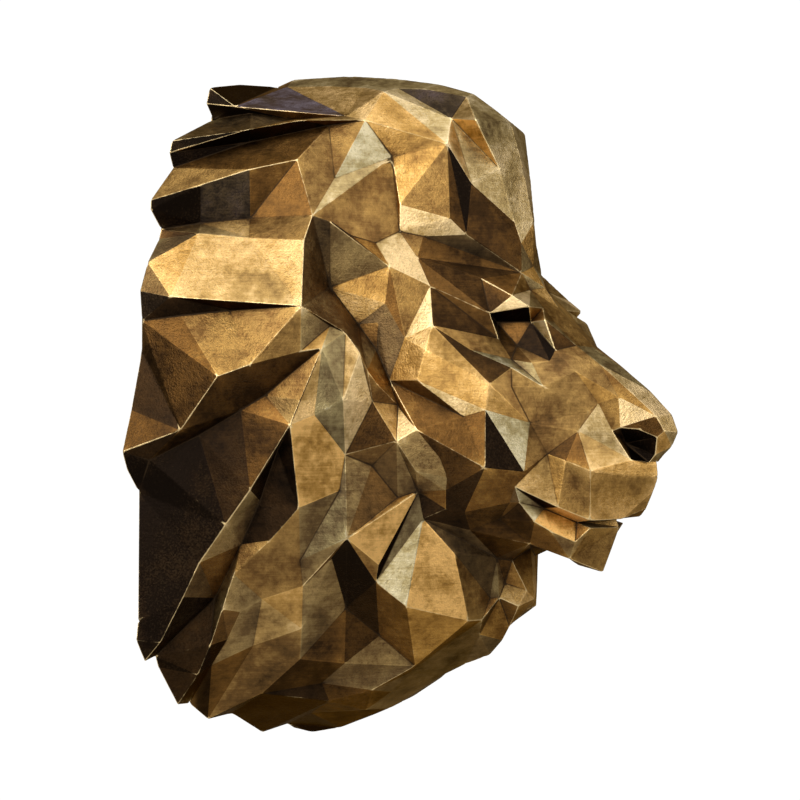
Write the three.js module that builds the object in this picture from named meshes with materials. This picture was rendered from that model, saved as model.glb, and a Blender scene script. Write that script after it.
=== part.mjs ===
import * as THREE from 'three';
import { mergeVertices } from 'three/addons/utils/BufferGeometryUtils.js';

// Driving sizes of the mask, in millimetres.
const HEAD_HEIGHT = 447;
const HEAD_WIDTH = 396;
const HEAD_DEPTH = 278;

// The carving is drawn in parts: so many to the height, the width and the depth of the head.
const PARTS_HIGH = 447;
const PARTS_WIDE = 396;
const PARTS_DEEP = 278;

const BRASS = { color: 0x8a6b3a, roughness: 0.42, metalness: 0.9 };

// Each landmark is [out from the middle plane, forward of the wall, up from the fixing point], in parts.
// The wall is the plane forward = 0. Only the right half is carved, and the left half mirrors it.

// The outline on the wall, from the crest round the lock tips to the bottom of the mane.
const rim = [
  [0, 0, 220], [21, 0, 212], [68, 0, 207], [104, 0, 200], [108, 0, 189], [100, 0, 180],
  [146, 0, 161], [149, 0, 153], [145, 0, 144],
  [169, 0, 122], [169, 0, 116], [158, 0, 105],
  [160, 0, 99], [172, 0, 84], [180, 0, 66], [178, 0, 48],
  [178, 0, 30], [189, 0, -6], [198, 0, -31], [193, 0, -42], [181, 0, -56],
  [182, 0, -133], [184, 0, -145], [175, 0, -159], [164, 0, -157],
  [161, 0, -164], [140, 0, -190], [127, 0, -191],
  [106, 0, -204], [78, 0, -204],
  [41, 0, -222], [8, 0, -221], [0, 0, -225],
];

// The middle of the head, from the crest over the face to the bottom of the mane.
const middle = {
  crestMiddle: [0, 44, 219],
  crestHigh: [0, 83, 214],
  crestFore: [0, 113, 208],
  forelockTop: [0, 137, 200],
  forelockUpper: [0, 164, 180],
  forelockMiddle: [0, 173, 148],
  forelockLower: [0, 180, 114],
  foreheadRoot: [0, 180, 86],
  bridgeTop: [0, 188, 72],
  bridgeUpper: [0, 198, 58],
  bridgeMiddle: [0, 222, 33],
  bridgeLower: [0, 240, 21],
  noseTop: [0, 260, 5],
  noseEdge: [0, 274, -9],
  noseTip: [0, 278, -20],
  noseUnder: [0, 274, -29],
  noseBase: [0, 264, -38],
  lipTop: [0, 265, -48],
  lipFront: [0, 262, -57],
  lipEdge: [0, 257, -68],
  mouthFront: [0, 237, -75],
  chinLip: [0, 239, -80],
  chinBottom: [0, 228, -109],
  chinUnder: [0, 211, -105],
  chinBack: [0, 201, -98],
  throatTop: [0, 178, -95],
  beardFront: [0, 180, -116],
  beardTip: [0, 181, -128],
  beardUnder: [0, 163, -147],
  beardNotch: [0, 158, -156],
  beardKeel: [0, 149, -166],
  keelRidge: [0, 131, -173],
  keelFore: [0, 113, -182],
  keelMiddle: [0, 75, -206],
  keelBack: [0, 37, -222],
  keelEnd: [0, 15, -227],
};

// The crest, the crown and the forelock, above the brow.
const crown = {
  crest1: [30, 13, 210],
  crest2: [30, 46, 208],
  crest3: [28, 72, 205],
  crest4: [26, 95, 203],
  crest5: [22, 113, 202],
  crest6: [14, 139, 196],
  forelock1: [38, 157, 177],
  forelock2: [24, 167, 147],
  forelock3: [16, 174, 113],
  forelock4: [12, 177, 100],
  crownPeak: [32, 137, 180],
  crownEdge: [42, 93, 199],
  crownCorner: [46, 141, 162],
  crownHollow: [38, 154, 137],
  crownRoot: [60, 109, 154],
  browRise: [45, 154, 104],
  browCrown: [52, 146, 114],
  browBand: [58, 130, 103],
  templeUpper: [65, 117, 123],
  templeMiddle: [65, 117, 106],
};

// The front edge of the side mane, and the hollow behind the cheek.
const ruff = {
  ruff0: [70, 95, 177],
  ruff1: [95, 87, 138],
  ruff2: [120, 86, 113],
  ruff3: [132, 87, 97],
  ruff4: [150, 96, 56],
  ruff5: [128, 103, 45],
  ear1: [80, 108, 98],
  ear2: [95, 98, 102],
  ear3: [108, 91, 110],
  ear4: [82, 119, 83],
  ear5: [99, 86, 70],
  ear6: [86, 118, 60],
  ear7: [88, 114, 48],
  hollow1: [90, 101, 47],
  hollow2: [88, 113, 31],
  hollow3: [88, 122, 12],
  hollow4: [90, 129, -3],
  leafTop: [120, 109, 41],
  leafInner1: [118, 118, 29],
  leafInner2: [114, 121, 18],
  leafInner3: [106, 124, 9],
  leafOuter: [138, 103, 31],
  leafBack: [140, 99, -9],
  leafFoot: [122, 110, -33],
  leafFront: [108, 121, -1],
  leafRidge: [130, 113, 0],
};

// The locks of the mane on the right side, as ridges and valleys that run from the wall forward.
const mane = {
  topLock: [100, 17, 187],
  topRoot: [72, 82, 180],
  topGroove1: [93, 25, 183],
  topGroove2: [80, 48, 179],
  firstRidge1: [112, 36, 170],
  firstRidge2: [94, 61, 176],
  firstValley1: [104, 30, 163],
  firstValley2: [78, 73, 174],
  secondRidge1: [150, 24, 132],
  secondRidge2: [132, 48, 142],
  secondRidge3: [112, 70, 149],
  secondValley1: [144, 20, 109],
  secondValley2: [128, 46, 112],
  thirdEdge1: [152, 24, 102],
  thirdEdge2: [139, 52, 99],
  thirdRidge1: [178, 21, 62],
  thirdValley1: [170, 23, 51],
  thirdValley2: [157, 50, 54],
  fourthRidge1: [180, 56, 14],
  fourthRidge2: [168, 71, 21],
  fourthRidge3: [148, 94, 29],
  fourthTip: [185, 33, -18],
  fourthValley1: [184, 10, -36],
  fourthValley2: [168, 35, -21],
  fourthValley3: [156, 57, -6],
  fourthValley4: [149, 70, 3],
  fifthRidge1: [174, 11, -147],
  fifthRidge2: [170, 25, -119],
  fifthRidge3: [166, 34, -98],
  fifthRidge4: [162, 50, -75],
  fifthRidge5: [158, 65, -54],
  fifthRidge6: [150, 88, -15],
  fifthRoot: [148, 94, 0],
  fifthValley1: [140, 28, -122],
  fifthValley2: [145, 50, -88],
  fifthValley3: [144, 63, -61],
  fifthValley4: [145, 76, -30],
  sixthRidge1: [141, 16, -170],
  sixthRidge2: [144, 27, -151],
  sixthRidge3: [146, 37, -128],
  sixthRidge4: [147, 46, -106],
  sixthRidge5: [142, 69, -85],
  sixthRidge6: [138, 87, -65],
  sixthRoot: [122, 106, -55],
  sixthFold: [125, 80, -98],
  sixthEdge1: [132, 20, -165],
  sixthEdge2: [134, 33, -148],
  sixthEdge3: [138, 45, -130],
  sixthEdge4: [132, 57, -122],
  seventhTop: [120, 79, -114],
  seventhFront: [108, 71, -142],
  seventhBack: [118, 42, -153],
  seventhPeak: [118, 98, -96],
  seventhRidge1: [92, 32, -187],
  seventhRidge2: [95, 62, -163],
  seventhRidge3: [86, 90, -130],
};

// The brow, the eye and the bridge of the nose.
const eye = {
  browInner: [16, 179, 81],
  browOuter: [66, 130, 89],
  browSide: [70, 141, 71],
  browCorner: [49, 172, 54],
  browPeak: [46, 186, 65],
  browFold: [42, 196, 58],
  browMiddle: [44, 164, 76],
  bridge1: [14, 184, 70],
  bridge2: [19, 195, 58],
  bridge3: [19, 202, 49],
  bridge4: [17, 217, 34],
  bridge5: [17, 233, 22],
  socketTop: [37, 171, 49],
  socketInner: [37, 185, 34],
  socketOuter: [44, 176, 38],
  socketFoot: [47, 186, 25],
  lidOuter: [45, 199, 23],
  lidLower: [38, 208, 24],
  lidFront: [33, 223, 18],
  eyeOuter: [31, 192, 49],
  eyeInner: [34, 203, 50],
  eyeBall: [32, 209, 31],
};

// The nose and the muzzle.
const muzzle = {
  noseRidge: [14, 269, -10],
  noseSide: [22, 247, 2],
  noseCrease: [30, 237, -2],
  wingBack: [27, 245, -19],
  wingTop: [24, 249, -17],
  wingPeak: [19, 260, -13],
  wingLower: [19, 259, -18],
  wingFront: [11, 273, -19],
  wingTip: [13, 269, -23],
  nostrilDeep: [8, 246, -27],
  nostrilFront: [8, 266, -34],
  nostrilBase: [8, 262, -39],
  padTop: [43, 229, -19],
  padFront: [18, 254, -37],
  padLower: [18, 254, -47],
  padMiddle: [45, 238, -43],
  padSide: [48, 223, -37],
  padBack: [49, 211, -33],
  lipCorner: [62, 195, -53],
  lipUpper: [59, 200, -44],
  cheekFront: [55, 202, -14],
  lipSide: [46, 217, -66],
  lipLower: [36, 234, -74],
  lipTip: [16, 247, -74],
  mouthSide: [40, 205, -67],
  mouthInner: [26, 221, -76],
};

// The cheek and the jaw.
const cheek = {
  cheekTop: [85, 131, 38],
  cheekFold: [88, 147, 31],
  cheekMiddle: [90, 142, 12],
  cheekBone: [80, 148, 46],
  cheekRidge: [74, 184, 10],
  underEye1: [70, 169, 31],
  underEye2: [56, 190, 20],
  underEye3: [60, 192, 8],
  underEye4: [50, 209, 8],
  underEye5: [36, 233, -7],
  jowlTop: [98, 146, -18],
  jowlMiddle: [80, 169, -10],
  jowlFront: [76, 182, -6],
  jowlLower: [83, 185, -41],
  jowlBack: [103, 135, -25],
  jowlFoot: [90, 158, -35],
  jawBack1: [86, 161, -47],
  jawBack2: [95, 144, -43],
  jawBack3: [86, 141, -56],
  jaw1: [58, 190, -63],
  jaw2: [70, 165, -69],
  jaw3: [84, 159, -55],
  jaw4: [78, 156, -67],
  jaw5: [58, 163, -81],
  chin1: [55, 195, -63],
  chin2: [48, 202, -75],
  chin3: [42, 210, -81],
  chin4: [31, 222, -88],
  chin5: [28, 231, -79],
  chinFoot: [28, 217, -99],
  chinSide: [35, 193, -90],
  chinHeel: [52, 180, -74],
};

// The beard and the short locks under the jaw.
const beard = {
  throatSide: [28, 167, -100],
  throatFront: [18, 173, -102],
  beard1: [8, 179, -122],
  beard2: [12, 175, -132],
  beard3: [16, 167, -117],
  beard4: [20, 165, -126],
  beard5: [26, 161, -126],
  tuft1: [92, 130, -60],
  tuft2: [105, 119, -40],
  tuft3: [120, 110, -84],
  tuft4: [83, 143, -73],
  tuft5: [100, 121, -101],
  tuft6: [96, 117, -112],
  tuft7: [64, 155, -95],
  tuft8: [88, 134, -127],
  tuft9: [52, 159, -138],
  tuft10: [35, 160, -139],
  lowerLock1: [64, 102, -149],
  lowerLock2: [72, 81, -167],
  lowerLock3: [70, 63, -181],
  lowerLock4: [60, 63, -194],
  lowerLock5: [52, 90, -186],
  lowerLock6: [44, 117, -170],
  keelEdge1: [22, 152, -150],
  keelEdge2: [38, 139, -154],
  keelEdge3: [38, 110, -175],
  keelEdge4: [36, 95, -189],
  keelEdge5: [34, 76, -202],
  keelEdge6: [40, 37, -206],
};

const landmarks = { ...middle, ...crown, ...ruff, ...mane, ...eye, ...muzzle, ...cheek, ...beard };
rim.forEach((place, number) => {
  landmarks[`rim${number}`] = place;
});

// Bands of facets, each between two lines of landmarks that run side by side.
const bands = [
  // The crest and the front of the forelock.
  ['rim0 crestMiddle crestHigh crestFore forelockTop', 'rim1 crest1 crest2 crest3 crest4 crest5 crest6'],
  [
    'forelockTop forelockUpper forelockMiddle forelockLower foreheadRoot',
    'crest6 forelock1 forelock2 forelock3 forelock4 browInner',
  ],
  // The bridge of the nose.
  [
    'foreheadRoot bridgeTop bridgeUpper bridgeMiddle bridgeLower noseTop noseEdge',
    'browInner bridge1 bridge2 bridge3 bridge4 bridge5 noseRidge',
  ],
  // The mane, lock by lock from the crown down: over each ridge and under it to the next valley.
  ['rim4 topLock topRoot', 'rim5 topGroove1 topGroove2 topRoot'],
  ['rim5 topGroove1 topGroove2 topRoot ruff0', 'rim6 firstRidge1 firstRidge2 ruff0'],
  ['rim7 firstRidge1 firstRidge2 ruff0', 'rim8 firstValley1 firstValley2 ruff0'],
  ['rim8 firstValley1 firstValley2 ruff0', 'rim9 secondRidge1 secondRidge2 secondRidge3 ruff1'],
  ['rim10 secondRidge1 secondRidge2 secondRidge3 ruff1', 'rim11 secondValley1 secondValley2 ruff2'],
  ['rim11 secondValley1 secondValley2 ruff2', 'rim12 thirdEdge1 thirdEdge2 ruff3'],
  ['rim13 thirdEdge1 thirdEdge2 ruff3', 'rim14 thirdRidge1 ruff4'],
  ['rim14 thirdRidge1 ruff4', 'rim15 thirdValley1 thirdValley2 ruff4'],
  [
    'rim15 thirdValley1 thirdValley2 ruff4 ruff5',
    'rim15 fourthRidge1 fourthRidge2 fourthRidge3 leafOuter',
  ],
  [
    'fourthTip fourthRidge1 fourthRidge2 fourthRidge3 leafOuter',
    'fourthValley1 fourthValley2 fourthValley3 fourthValley4 leafOuter',
  ],
  [
    'rim22 rim21 rim20 fourthValley1 fourthValley2 fourthValley3 fourthValley4 leafOuter',
    'rim23 fifthRidge1 fifthRidge2 fifthRidge3 fifthRidge4 fifthRidge5 fifthRidge6 fifthRoot leafOuter',
  ],
  [
    'rim23 fifthRidge1 fifthRidge2 fifthRidge3 fifthRidge4 fifthRidge5 fifthRidge6',
    'rim24 fifthValley1 fifthValley2 fifthValley3 fifthValley4 fifthRidge6',
  ],
  [
    'rim25 rim24 fifthValley1 fifthValley2 fifthValley3 fifthValley4 fifthRidge6',
    'rim26 sixthRidge1 sixthRidge2 sixthRidge3 sixthRidge4 sixthRidge5 sixthRidge6',
  ],
  [
    'rim26 sixthRidge1 sixthRidge2 sixthRidge3 sixthRidge4 sixthRidge5',
    'rim27 sixthEdge1 sixthEdge2 sixthEdge3 sixthEdge4 sixthFold',
  ],
  // The keel under the beard.
  [
    'keelRidge keelFore keelMiddle keelBack keelEnd rim32',
    'keelEdge2 keelEdge3 keelEdge4 keelEdge5 keelEdge6 rim31',
  ],
  ['lowerLock6 lowerLock5 lowerLock4', 'keelEdge3 keelEdge4 keelEdge5 keelEdge6'],
];

// Single facets. Each is a fan of triangles from its first landmark.
const facets = [
  // The crown.
  'crownPeak crest4 crest5 crest6 forelock1 forelock2 crownHollow crownCorner crownEdge crest4',
  'crownEdge crest3 crest4',
  'topRoot crest1 crest2 crest3 crownEdge ruff0',
  'topLock crest1 topRoot',
  'topLock crest1 rim1 rim2 rim3 rim4',
  'forelock3 forelock2 crownHollow',
  'crownCorner crownEdge ruff0 crownRoot templeUpper browCrown browRise crownHollow',
  'crownHollow forelock3 forelock4 browInner browRise',
  'browCrown browRise browBand templeMiddle templeUpper',

  // The temple and the ear.
  'crownRoot ruff0 ruff1 ruff2 ear3 ear2 ear1 templeMiddle templeUpper',
  'ear4 ear1 ear2 ear3 ear5 ear6',
  'templeMiddle ear1 ear4 browOuter browBand',
  'browBand browRise browInner browOuter',
  'ear6 ear5 hollow1 ear7',
  'ear7 hollow1 hollow2 hollow3 cheekTop ear6',
  'ear4 browOuter browSide cheekTop ear6',

  // The hollow between the cheek and the mane, and the leaf-shaped lock.
  'ear5 ear3 ruff2 ruff3 ruff4 leafTop leafInner1 hollow1',
  'ruff5 ruff4 leafTop leafOuter',
  'leafInner2 leafInner1 hollow1 hollow2',
  'leafInner3 leafInner2 hollow2 hollow3 hollow4',
  'leafFront leafInner1 leafInner2 leafInner3 hollow4 jowlBack leafFoot',
  'leafRidge leafTop leafOuter leafBack leafFoot leafFront leafInner1 leafTop',

  // The tips of the locks on the wall.
  'firstRidge1 rim6 rim7',
  'secondRidge1 rim9 rim10',
  'thirdEdge1 rim12 rim13',
  'fourthTip fourthRidge1 rim15 rim16 rim17 rim18 fourthValley1',
  'fourthValley1 rim18 rim19 rim20',

  // The side mane under the leaf-shaped lock.
  'leafOuter leafBack fifthRidge6 fifthRoot',
  'fifthRidge6 leafBack leafFoot sixthRoot sixthRidge6',
  'sixthFold sixthRidge5 sixthRidge6 sixthRoot tuft3 seventhTop sixthEdge4',
  'leafFoot sixthRoot tuft3',
  'seventhPeak tuft3 seventhTop seventhFront seventhRidge3 tuft3',
  'seventhFront seventhTop sixthEdge4 seventhBack seventhRidge2 seventhRidge3',
  'seventhBack sixthEdge4 sixthEdge3 sixthEdge2 sixthEdge1 rim28 seventhRidge1 seventhRidge2',
  'sixthEdge1 rim27 rim28',
  'seventhRidge1 rim28 rim29 rim30 lowerLock4 lowerLock3 seventhRidge2',
  'lowerLock2 lowerLock3 seventhRidge2 seventhRidge3',
  'keelEdge6 lowerLock4 rim30 rim31',

  // The brow.
  'browMiddle browInner browPeak browCorner browOuter browInner',
  'browSide browOuter browCorner',
  'browPeak browInner bridge1 browFold browCorner',
  'browFold bridge1 bridge2 eyeOuter socketTop browCorner',

  // The eye and its socket.
  'eyeInner bridge2 bridge3 bridge4 eyeBall eyeOuter bridge2',
  'socketInner socketTop eyeOuter lidLower lidOuter socketFoot socketOuter socketTop',
  'socketTop browCorner socketOuter',
  'eyeBall eyeOuter lidLower lidFront bridge5 bridge4',

  // The nose.
  'noseSide bridge5 noseRidge wingPeak wingTop wingBack noseCrease lidFront bridge5',
  'wingLower wingTop wingPeak noseRidge wingFront wingTip nostrilDeep wingTop',
  'nostrilDeep wingTip nostrilFront nostrilBase padFront wingBack wingTop',
  'wingFront noseRidge noseEdge noseTip noseUnder wingTip',
  'nostrilFront wingTip noseUnder noseBase nostrilBase',

  // The muzzle.
  'padFront nostrilBase noseBase lipTop padLower padMiddle padTop wingBack',
  'padTop padMiddle padSide padBack cheekFront underEye5 noseCrease wingBack',
  'padLower lipTop lipFront lipTip lipLower padMiddle',
  'lipFront lipEdge lipTip',
  'padSide padMiddle lipLower lipSide padBack',
  'padBack lipSide lipCorner lipUpper cheekFront',

  // The mouth.
  'mouthSide lipCorner lipSide mouthInner chin3 chin2 chin1 lipCorner',
  'mouthInner lipSide lipLower lipTip mouthFront chinLip chin5 chin4 chin3',
  'lipTip lipEdge mouthFront',

  // The cheek.
  'underEye4 underEye5 noseCrease lidFront lidLower lidOuter socketFoot underEye2 underEye3 cheekFront underEye5',
  'underEye3 underEye2 cheekRidge cheekFront',
  'underEye1 cheekBone socketOuter socketFoot underEye2 cheekRidge cheekBone',
  'browSide browCorner socketOuter cheekBone cheekTop',
  'cheekFold cheekTop cheekBone cheekRidge jowlFront cheekMiddle cheekTop',
  'cheekRidge cheekFront jowlFront',
  'cheekMiddle cheekTop hollow3 jowlMiddle jowlFront',
  'hollow3 jowlMiddle jowlTop hollow4',
  'jowlLower jowlMiddle jowlFront lipUpper lipCorner jaw1 jaw2 jaw3 jawBack1 jowlFoot jowlTop jowlMiddle',
  'cheekFront jowlFront lipUpper',
  'jowlBack hollow4 jowlTop jowlFoot jawBack1 jawBack2 jawBack3 tuft1 tuft2 leafFoot',
  'jawBack1 jawBack2 jaw3',
  'jawBack3 jawBack2 jaw3 jaw4 tuft4',

  // The jaw and the chin.
  'jaw2 jaw3 jaw4 jaw5 chinHeel jaw1',
  'lipCorner jaw1 chin1',
  'chinHeel jaw1 chin1 chin2 chinSide jaw5',
  'chinSide chin2 chin3 chinFoot chinBack throatTop throatFront throatSide jaw5',
  'chin4 chin3 chinFoot chin5',
  'chinFoot chin5 chinLip chinBottom chinUnder chinBack',

  // The throat and the beard.
  'throatFront throatTop beardFront beard1 beard3 throatSide',
  'beard1 beardFront beardTip beard2 beard3',
  'beard4 beard3 beard2 beardUnder beardNotch keelEdge1 tuft10 beard5 throatSide beard3',
  'beard2 beardTip beardUnder',
  'keelEdge1 beardNotch beardKeel keelRidge keelEdge2 tuft10',
  'tuft7 throatSide beard5 tuft10 tuft9 tuft4 throatSide',
  'tuft4 jaw4 jaw5 throatSide',
  'tuft4 tuft9 tuft8 tuft6 jawBack3',
  'tuft5 jawBack3 tuft6 tuft3 jawBack3',
  'tuft3 jawBack3 tuft1 tuft2 leafFoot',
  'tuft3 tuft6 seventhRidge3',
  'keelEdge2 tuft10 tuft9 lowerLock6 keelEdge3',
  'lowerLock6 tuft9 tuft8 lowerLock1 lowerLock2 lowerLock3 lowerLock5',
  'lowerLock3 lowerLock4 lowerLock5',
  'lowerLock1 tuft8 tuft6 seventhRidge3 lowerLock2',
];

// A place in millimetres: x across, y into the wall, z up.
function place(name) {
  const mark = landmarks[name];
  if (!mark) throw new Error(`no landmark is called ${name}`);
  return new THREE.Vector3(
    (-mark[0] * HEAD_WIDTH) / PARTS_WIDE,
    (-mark[1] * HEAD_DEPTH) / PARTS_DEEP,
    (mark[2] * HEAD_HEIGHT) / PARTS_HIGH,
  );
}

// The triangles between two lines: each step takes the shorter way across.
function band(firstLine, secondLine) {
  const first = firstLine.split(' ');
  const second = secondLine.split(' ');
  const triangles = [];
  let i = 0;
  let j = 0;
  while (i < first.length - 1 || j < second.length - 1) {
    const canFirst = i < first.length - 1;
    const canSecond = j < second.length - 1;
    const acrossFirst = canFirst ? place(first[i + 1]).distanceTo(place(second[j])) : Infinity;
    const acrossSecond = canSecond ? place(second[j + 1]).distanceTo(place(first[i])) : Infinity;
    if (acrossFirst < acrossSecond) {
      triangles.push([first[i], first[i + 1], second[j]]);
      i += 1;
    } else {
      triangles.push([first[i], second[j + 1], second[j]]);
      j += 1;
    }
  }
  return triangles.filter(([a, b, c]) => a !== b && b !== c && c !== a);
}

// The triangles of one facet.
function fan(line) {
  const names = line.split(' ');
  const triangles = [];
  for (let i = 1; i < names.length - 1; i += 1) {
    triangles.push([names[0], names[i], names[i + 1]]);
  }
  return triangles;
}

// The flat back, inside the outline of the right half.
function flatBack() {
  const names = rim.map((_, number) => `rim${number}`);
  const outline = rim.map(([out, , up]) => new THREE.Vector2(out, up));
  return THREE.ShapeUtils.triangulateShape(outline, []).map((corners) => corners.map((corner) => names[corner]));
}

// Turns every triangle the same way as its neighbours, starting from the flat back, which faces the wall.
function turnAlike(triangles) {
  const edges = new Map();
  triangles.forEach((triangle, number) => {
    triangle.forEach((name, corner) => {
      const key = [name, triangle[(corner + 1) % 3]].sort().join('|');
      if (!edges.has(key)) edges.set(key, []);
      edges.get(key).push(number);
    });
  });
  const done = new Set([0]);
  const waiting = [0];
  while (waiting.length > 0) {
    const number = waiting.pop();
    const triangle = triangles[number];
    triangle.forEach((name, corner) => {
      const following = triangle[(corner + 1) % 3];
      const key = [name, following].sort().join('|');
      for (const other of edges.get(key)) {
        if (done.has(other)) continue;
        const neighbour = triangles[other];
        const start = neighbour.indexOf(name);
        if (neighbour[(start + 1) % 3] === following) neighbour.reverse();
        done.add(other);
        waiting.push(other);
      }
    });
  }
  return triangles;
}

// The whole head: the carved right half, its mirror image and the flat back of both.
function headGeometry() {
  const carved = [...bands.flatMap(([first, second]) => band(first, second)), ...facets.flatMap(fan)];
  const half = turnAlike([...flatBack(), ...carved]);
  const [a, b, c] = half[0].map(place);
  const facesWall = b.clone().sub(a).cross(c.clone().sub(a)).y > 0;
  const coordinates = [];
  for (const triangle of half) {
    const right = (facesWall ? triangle : [...triangle].reverse()).map(place);
    const left = [...right].reverse().map((corner) => new THREE.Vector3(-corner.x, corner.y, corner.z));
    [...right, ...left].forEach((corner) => coordinates.push(corner.x, corner.y, corner.z));
  }
  const geometry = new THREE.BufferGeometry();
  geometry.setAttribute('position', new THREE.Float32BufferAttribute(coordinates, 3));
  const head = mergeVertices(geometry);
  head.computeVertexNormals();
  return head;
}

const lionMask = new THREE.Mesh(headGeometry(), new THREE.MeshStandardMaterial(BRASS));
lionMask.name = 'lion_mask';

const group = new THREE.Group();
group.add(lionMask);

export default group;
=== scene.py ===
"""Lion head wall mask: the faceted casting with its patina, and the stage it is shown on."""

import math

import bpy
import numpy as np
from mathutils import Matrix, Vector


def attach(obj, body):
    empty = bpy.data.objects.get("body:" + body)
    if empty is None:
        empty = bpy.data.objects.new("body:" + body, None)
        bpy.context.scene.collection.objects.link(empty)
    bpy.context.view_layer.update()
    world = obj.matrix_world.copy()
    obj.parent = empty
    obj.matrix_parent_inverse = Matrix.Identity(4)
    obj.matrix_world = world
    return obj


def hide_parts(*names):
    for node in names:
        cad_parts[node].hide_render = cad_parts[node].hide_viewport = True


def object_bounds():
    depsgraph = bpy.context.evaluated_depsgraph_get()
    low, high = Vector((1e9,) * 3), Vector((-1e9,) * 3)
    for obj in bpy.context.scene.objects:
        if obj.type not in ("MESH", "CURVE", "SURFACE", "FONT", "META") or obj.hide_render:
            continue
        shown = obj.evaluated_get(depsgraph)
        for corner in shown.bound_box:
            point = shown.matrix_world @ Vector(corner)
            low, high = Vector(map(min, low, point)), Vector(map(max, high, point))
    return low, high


bl_info = {
    "name": "Lion Head Wall Mask",
    "version": (1, 0, 0),
    "blender": (4, 5, 0),
    "location": "3D View > Sidebar > Lion Mask",
    "description": "Finishes a faceted lion head as an aged brass casting and lights it",
    "category": "Object",
}

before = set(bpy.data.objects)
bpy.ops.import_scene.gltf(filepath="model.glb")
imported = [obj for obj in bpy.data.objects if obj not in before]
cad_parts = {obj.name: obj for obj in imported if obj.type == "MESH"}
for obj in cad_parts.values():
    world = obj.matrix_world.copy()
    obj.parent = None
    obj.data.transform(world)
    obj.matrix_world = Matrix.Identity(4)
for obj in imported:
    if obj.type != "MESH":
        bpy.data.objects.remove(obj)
CAD_BOX = [list(corner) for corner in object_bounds()]
CAD_NODE = "lion_mask"

# The shortest length that a vector is divided by, and millimetres to the metre.
TINY = 1e-12
MM_PER_METRE = 1000

# Corners of the CAD triangles are one point where they agree to a hundredth of a millimetre.
WELD_STEPS_PER_METRE = 1e5

# Rounding of the edges: the most of its inner circle that a small triangle gives up, and how far a
# corner moves towards the surface around it.
MOST_OF_CIRCLE = 0.3
CORNER_ROUNDING = 0.8

# Turns of the surface, in radians, at which an edge starts to count as a ridge, and over which its ridge
# or groove mark then rises to 1.
RIDGE_STARTS = 0.22
RIDGE_SPAN = 0.9
GROOVE_SPAN = 0.8

# Cutting into small triangles: the ridge mark above which sides are kept half as long, and the distance
# from the wall, in metres, within which a side belongs to the flat back.
FINE_RIDGE = 0.15
BACK_REACH = 1e-5

# Easing of gentle folds: rounds, the turn in degrees past which a fold stays sharp, and the fewest
# neighbours alike that a point needs to move. The least count keeps a division from failing.
EASING_ROUNDS = 5
EASING_TURN = 17
FEWEST_ALIKE = 0.5
LEAST_COUNT = 1e-9

# Hollows: rounds of smoothing that they are measured against, and the depth in metres that counts as 1.
HOLLOW_ROUNDS = 12
FULL_HOLLOW = 0.0016

# Unevenness from casting, in metres: the lengths of a slow and a quicker wave and what share each has,
# the length of the nicks, and the strip by the wall in which all of it fades out. The lattice of random
# numbers repeats after so many cubes.
LATTICE_CUBES = 32
SLOW_WAVE = 0.042
QUICK_WAVE = 0.015
SLOW_SHARE = 0.65
QUICK_SHARE = 0.35
NICK_WAVE = 0.006
WAVE_FADE = 0.006

# Seeds of the random numbers.
FACET_SEED = 7
SLOW_SEED = 1
QUICK_SEED = 2
NICK_SEED = 3

# Turns in degrees that part one facet from the next: roughly, then closely.
ROUGH_TURN = 7
CLOSE_TURN = 2.5

# Facets on no list: their middle brightness, the painted light that facing up adds, the painted shade that
# facing down takes and how far down it starts, what chance adds or takes, and the painted shade that the
# wall and the low rear side take. Then their middle warmth, and what chance adds to it or takes.
MIDDLE_BRIGHT = 0.41
UPWARD_PAINTED_LIGHT = 0.08
DOWNWARD_PAINTED_SHADE = 0.22
DOWNWARD_SHADE_STARTS = 0.1
BRIGHT_CHANCE = 0.09
WALL_PAINTED_SHADE = 0.26
LOW_REAR_PAINTED_SHADE = 0.34
MIDDLE_WARMTH = 0.5
WARMTH_CHANCE = 0.3

# Where that painted shade ends and over what distance it fades, in millimetres from the wall, and how far
# below the middle it is full.
WALL_SHADE_END = 22
WALL_SHADE_FADE = 14
REAR_SHADE_END = 50
REAR_SHADE_FADE = 35
LOW_SHADE_DEPTH = 30

# The flat back has one brightness. Triangles belong to it where this much of their normal points back.
BACK_BRIGHT = 0.20
BACKWARD = 0.9

# Noises of the brass: lumps to the metre, detail and roughness.
CLOUD = (12, 4, 0.55)
BLOTCH = (48, 5, 0.6)
MOTTLE = (240, 5, 0.65)
PITS = (800, 3, 0.6)
SCRATCH = (45, 4, 0.6)

# The brushing: how its direction is turned, in radians, and how much finer it is along each axis.
BRUSHING_TURN = (0.5, 0.3, 0.9)
BRUSHING_STRETCH = (1.0, 1.0, 22.0)

# Brightness at which the brass has each of its colours, from soot and painted shade to pale brass.
TONE_STOPS = (0.02, 0.13, 0.34, 0.58, 0.86)

# Masks of the brass: each is 0 below its first value and 1 above its second.
GRAINY_RANGE = (0.42, 0.60)
WARM_RANGE = (0.0, 0.9)
HEATED_RANGE = (0.2, 0.9)
PATINA_AND_SHADE_RANGE = (0.25, 0.9)
SPECKLE_RANGE = (0.05, 0.2)
WORN_RANGE = (0.0, 0.6)

# Roughness of the clean brass.
MIDDLE_ROUGHNESS = 0.45

# The brass colour times one of these is its warm, its grey or its heated shade.
WARM_SHADE = (1.12, 0.90, 0.62, 1.0)
GREY_SHADE = (0.84, 0.98, 1.30, 1.0)
HEAT_SHADE = (0.62, 0.78, 2.6, 1.0)

# The tint of the brass's reflections, strongest at a grazing angle, and the height of its fine relief in
# metres.
REFLECTION_TINT = (0.66, 0.52, 0.36, 1.0)
RELIEF_HEIGHT = 0.0005

WARM_LIGHT = (1.0, 0.96, 0.88)
DAY_LIGHT = (0.97, 0.98, 1.0)

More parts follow.
